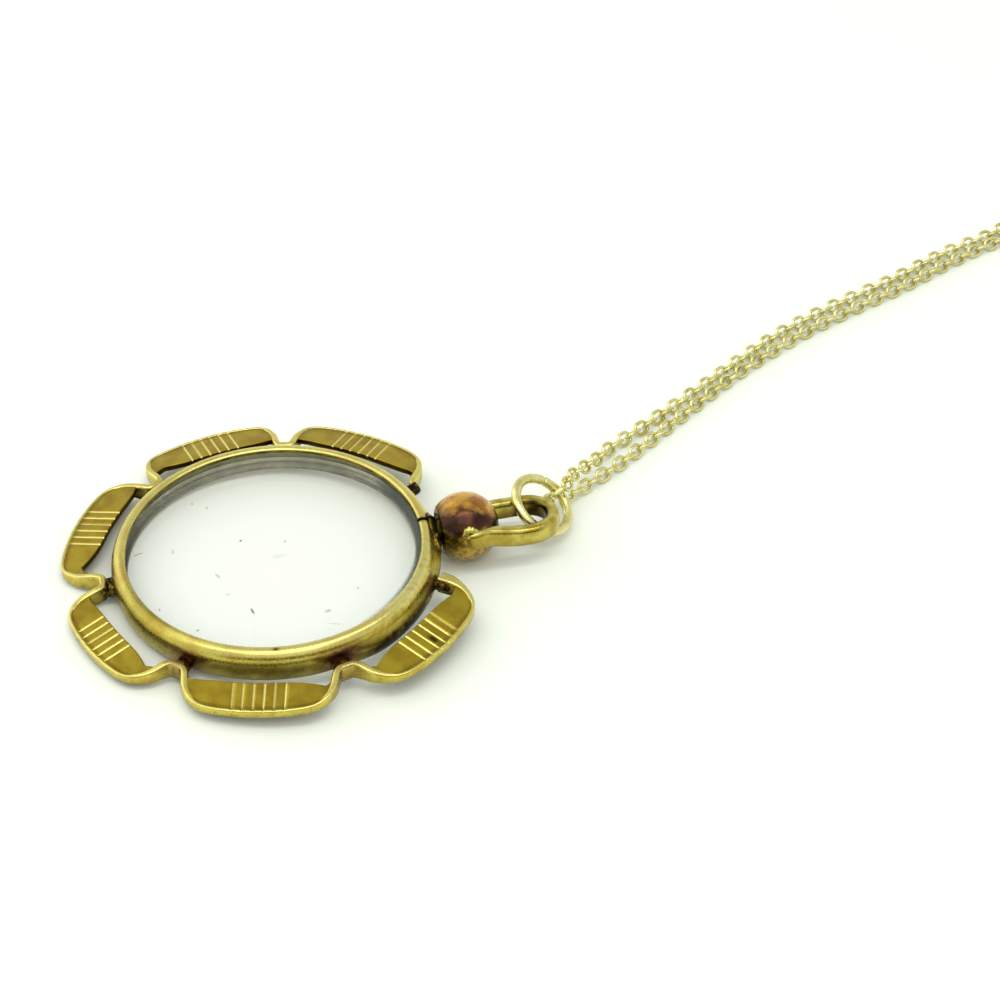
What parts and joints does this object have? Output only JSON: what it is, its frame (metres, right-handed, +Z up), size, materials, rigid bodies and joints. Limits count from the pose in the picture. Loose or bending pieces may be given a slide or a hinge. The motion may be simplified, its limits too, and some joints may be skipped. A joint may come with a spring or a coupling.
{
  "type": "glass locket necklace",
  "caption": "Round two-sided glass locket in a scalloped ribbon frame, closed by a screw-on ball with a bail, lying flat with a fine cable chain.",
  "frame": {"origin": "on the surface that the locket lies on, straight under the middle of its round bezel", "axes": "+X along the pendant from the bezel to the screw ball, bail and chain; +Z up from the surface; +Y to the left when looking along +X"},
  "size_m": [0.2105, 0.1176, 0.0055],
  "materials": {
    "gold": "worn rolled gold, satin, with dark solder and stains at the joints",
    "tarnished_gold": "rolled gold with heat-brown and purple tarnish over the ball",
    "pale_gold": "pale yellow rolled gold, bright",
    "glass": "clear flat glass, faintly green, with fine scratches"
  },
  "bodies": {
    "root": {"bezel": "gold", "front_glass": "glass", "back_glass": "glass", "screw_ball": "tarnished_gold", "jump_ring": "pale_gold", "chain": "pale_gold", "clasp": "gold"}
  },
  "joints": []
}
